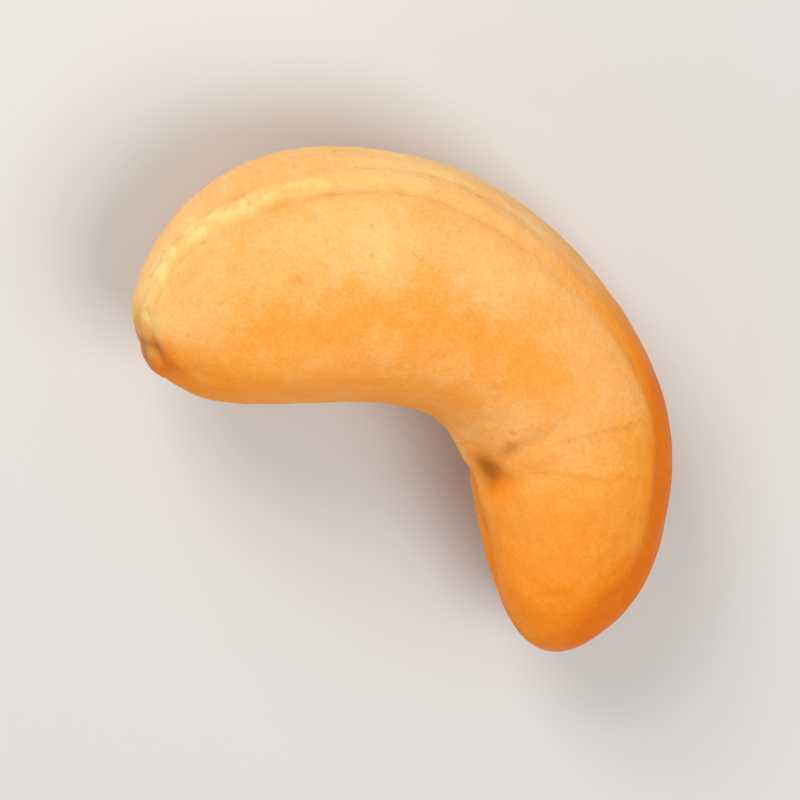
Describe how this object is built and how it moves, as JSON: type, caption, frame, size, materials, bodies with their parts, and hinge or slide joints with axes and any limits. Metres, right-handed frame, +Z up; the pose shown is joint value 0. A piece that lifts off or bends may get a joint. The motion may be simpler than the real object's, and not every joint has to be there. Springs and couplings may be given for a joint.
{
  "type": "roasted cashew nut",
  "caption": "Whole roasted cashew kernel: a bent, tapering body with a seam band round its back and a cleft along its hollow side, lying on one broad side.",
  "frame": {"origin": "middle of the outline in plan, on the level of the three low flats that the kernel rests on", "axes": "+X from the thick end towards the thin end along the longest extent, +Y towards the round back, +Z up, across the thickness"},
  "size_m": [0.0264, 0.0156, 0.0106],
  "materials": {
    "roasted_kernel": "satin, slightly oily, golden with deeper orange ends"
  },
  "bodies": {
    "root": {"cashew_kernel": "roasted_kernel"}
  },
  "joints": []
}
